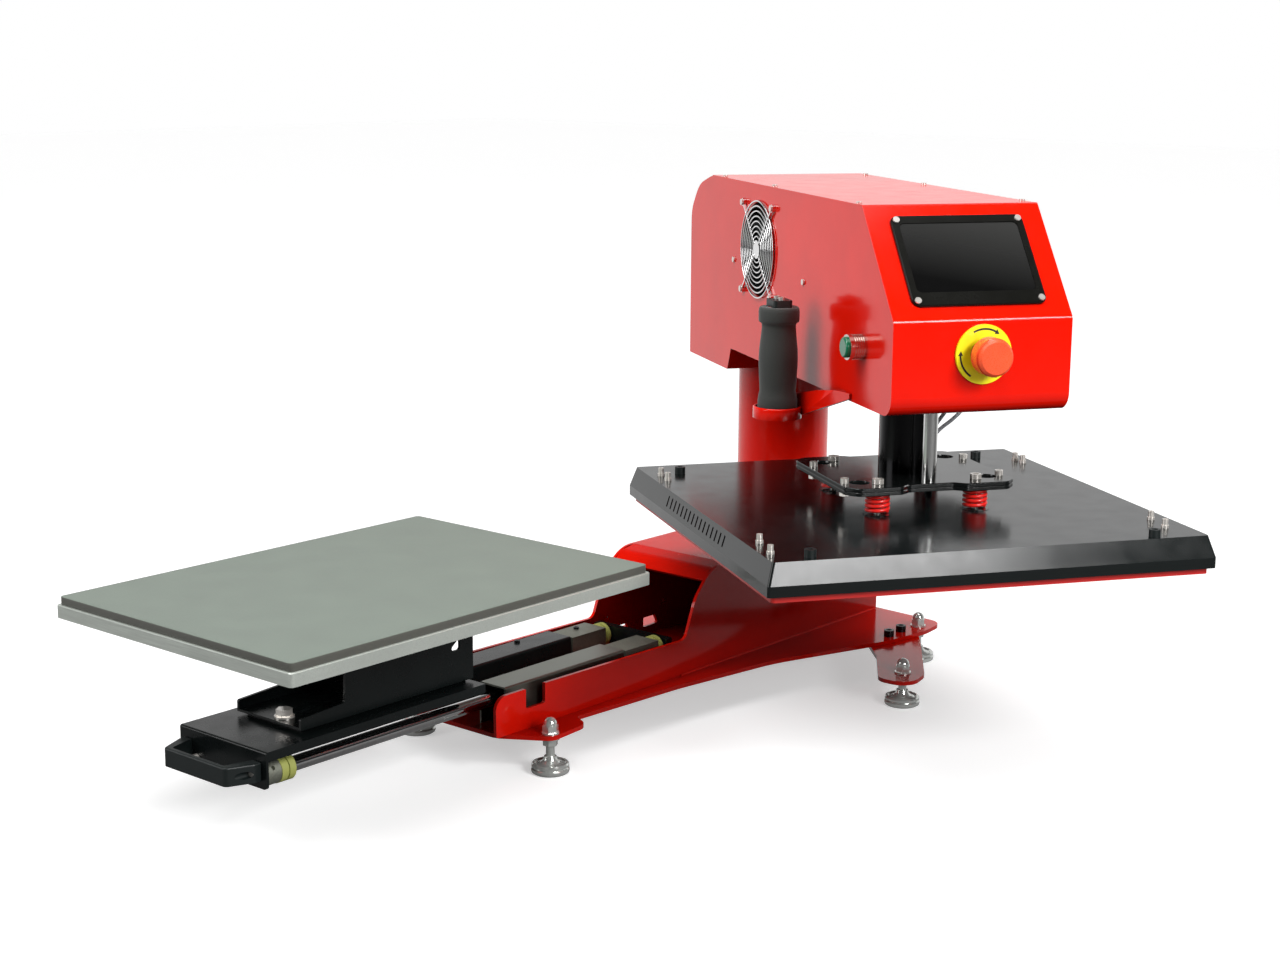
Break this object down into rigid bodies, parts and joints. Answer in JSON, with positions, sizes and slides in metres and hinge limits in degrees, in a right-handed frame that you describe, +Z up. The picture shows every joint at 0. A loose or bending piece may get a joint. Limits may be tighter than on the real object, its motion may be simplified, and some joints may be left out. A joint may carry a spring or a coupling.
{
  "type": "swing-away heat press",
  "caption": "Heat press with a hooded heating platen on a head that swings about a round column, and a padded lower platen on a pull-out drawer.",
  "frame": {"origin": "middle of the machine's footprint at the height its levelling feet stand on", "axes": "+Z up; the drawer pulls out towards -Y; the operator's right is +X"},
  "size_m": [0.8738, 1.128, 0.63],
  "materials": {
    "aluminium_plate": "satin",
    "bezel": "satin",
    "black_paint": "satin",
    "black_plastic": "matte",
    "black_steel": "gloss",
    "bronze": "machined",
    "bumper_rubber": "matte",
    "cable_grey": "matte",
    "cast_block": "satin",
    "chrome_rod": "polished",
    "circuit": "satin",
    "foam": "matte",
    "hood_paint": "semi-gloss",
    "machined_steel": "machined",
    "nickel": "polished",
    "platen_cast": "coated",
    "red_paint": "gloss",
    "screen_glass": "gloss",
    "silicone": "matte",
    "spring_red": "gloss",
    "stainless": "polished",
    "start_green": "gloss",
    "stop_red": "gloss",
    "stop_yellow": "gloss",
    "zinc_sheet": "satin"
  },
  "bodies": {
    "root": {"base_plate": "red_paint", "outrigger_plate": "red_paint", "side_plate_right": "red_paint", "side_plate_left": "red_paint", "column_bridge": "red_paint", "power_inlet": "black_plastic", "base_screws": "black_steel", "levelling_feet": "stainless", "guide_channel_left": "black_paint", "guide_channel_right": "zinc_sheet", "bearing_blocks": "cast_block", "column": "red_paint", "swivel_shaft": "machined_steel", "thrust_bearing": "machined_steel"},
    "drawer": {"drawer_deck": "black_paint", "drawer_handle": "black_plastic", "drawer_screws": "stainless", "slide_rods": "chrome_rod", "rod_collars": "cast_block", "rod_bumpers": "bumper_rubber", "rod_crossbar": "machined_steel", "platen_tray": "black_paint", "lower_platen": "aluminium_plate", "silicone_pad": "silicone"},
    "head": {"head_shell": "red_paint", "head_lid": "red_paint", "screen_bezel": "bezel", "screen_glass": "screen_glass", "head_chassis": "machined_steel", "swivel_hub": "machined_steel", "press_actuator": "platen_cast", "guide_bushes": "bronze", "power_supply": "zinc_sheet", "control_board": "circuit", "estop_ring": "stop_yellow", "estop_switch": "black_plastic", "button_collar": "nickel", "fan_frame": "black_plastic", "fan_guard": "chrome_rod", "grip_foam": "foam", "grip_bracket": "red_paint", "grip_cap": "black_plastic", "head_screws": "stainless", "heater_cables": "cable_grey"},
    "estop_stem": {"estop_plunger": "black_plastic"},
    "estop_head": {"estop_button": "stop_red"},
    "start_button": {"green_button": "start_green"},
    "fan_rotor": {"fan_impeller": "black_plastic"},
    "press": {"ram": "black_steel", "guide_rod": "chrome_rod", "pressure_plates": "black_paint", "plate_bolts": "stainless"},
    "heat_head": {"float_springs": "spring_red", "float_bolts": "stainless", "hood_shell": "hood_paint", "insulation_band": "red_paint", "heat_platen": "platen_cast", "heater_element": "machined_steel", "hood_screws": "stainless", "hood_caps": "black_plastic"}
  },
  "joints": [
    {"name": "head_swing", "type": "hinge", "parent": "root", "child": "head", "pos_m": [-0.24738, 0.42976, 0.452], "axis": [0, 0, 1], "range_deg": [-56.34, 33.66]},
    {"name": "drawer_slide", "type": "slide", "parent": "root", "child": "drawer", "axis": [0, 1, 0], "range_m": [0, 0.337]},
    {"name": "press_down", "type": "slide", "parent": "head", "child": "press", "axis": [0, 0, -1], "range_m": [0, 0.011], "deforming": ["heater_cables"]},
    {"name": "platen_float", "type": "slide", "parent": "press", "child": "heat_head", "axis": [0, 0, 1], "range_m": [0, 0.003], "stiffness_N_per_m": 20000, "springref_m": -0.004, "deforming": ["float_springs"]},
    {"name": "estop_push", "type": "slide", "parent": "head", "child": "estop_stem", "axis": [-0.8323, 0.5543, 0], "range_m": [0, 0.005]},
    {"name": "estop_twist", "type": "hinge", "parent": "estop_stem", "child": "estop_head", "pos_m": [0.26451, 0.08889, 0.4815], "axis": [-0.8323, 0.5543, 0], "range_deg": [0, 40], "stiffness_Nm_per_rad": 0.05},
    {"name": "start_push", "type": "slide", "parent": "head", "child": "start_button", "axis": [0.5543, 0.8323, 0], "range_m": [0, 0.003], "stiffness_N_per_m": 300, "springref_m": -0.002},
    {"name": "fan_spin", "type": "hinge", "parent": "head", "child": "fan_rotor", "pos_m": [-0.14605, 0.25897, 0.551], "axis": [0.5543, 0.8323, 0], "continuous": true}
  ]
}
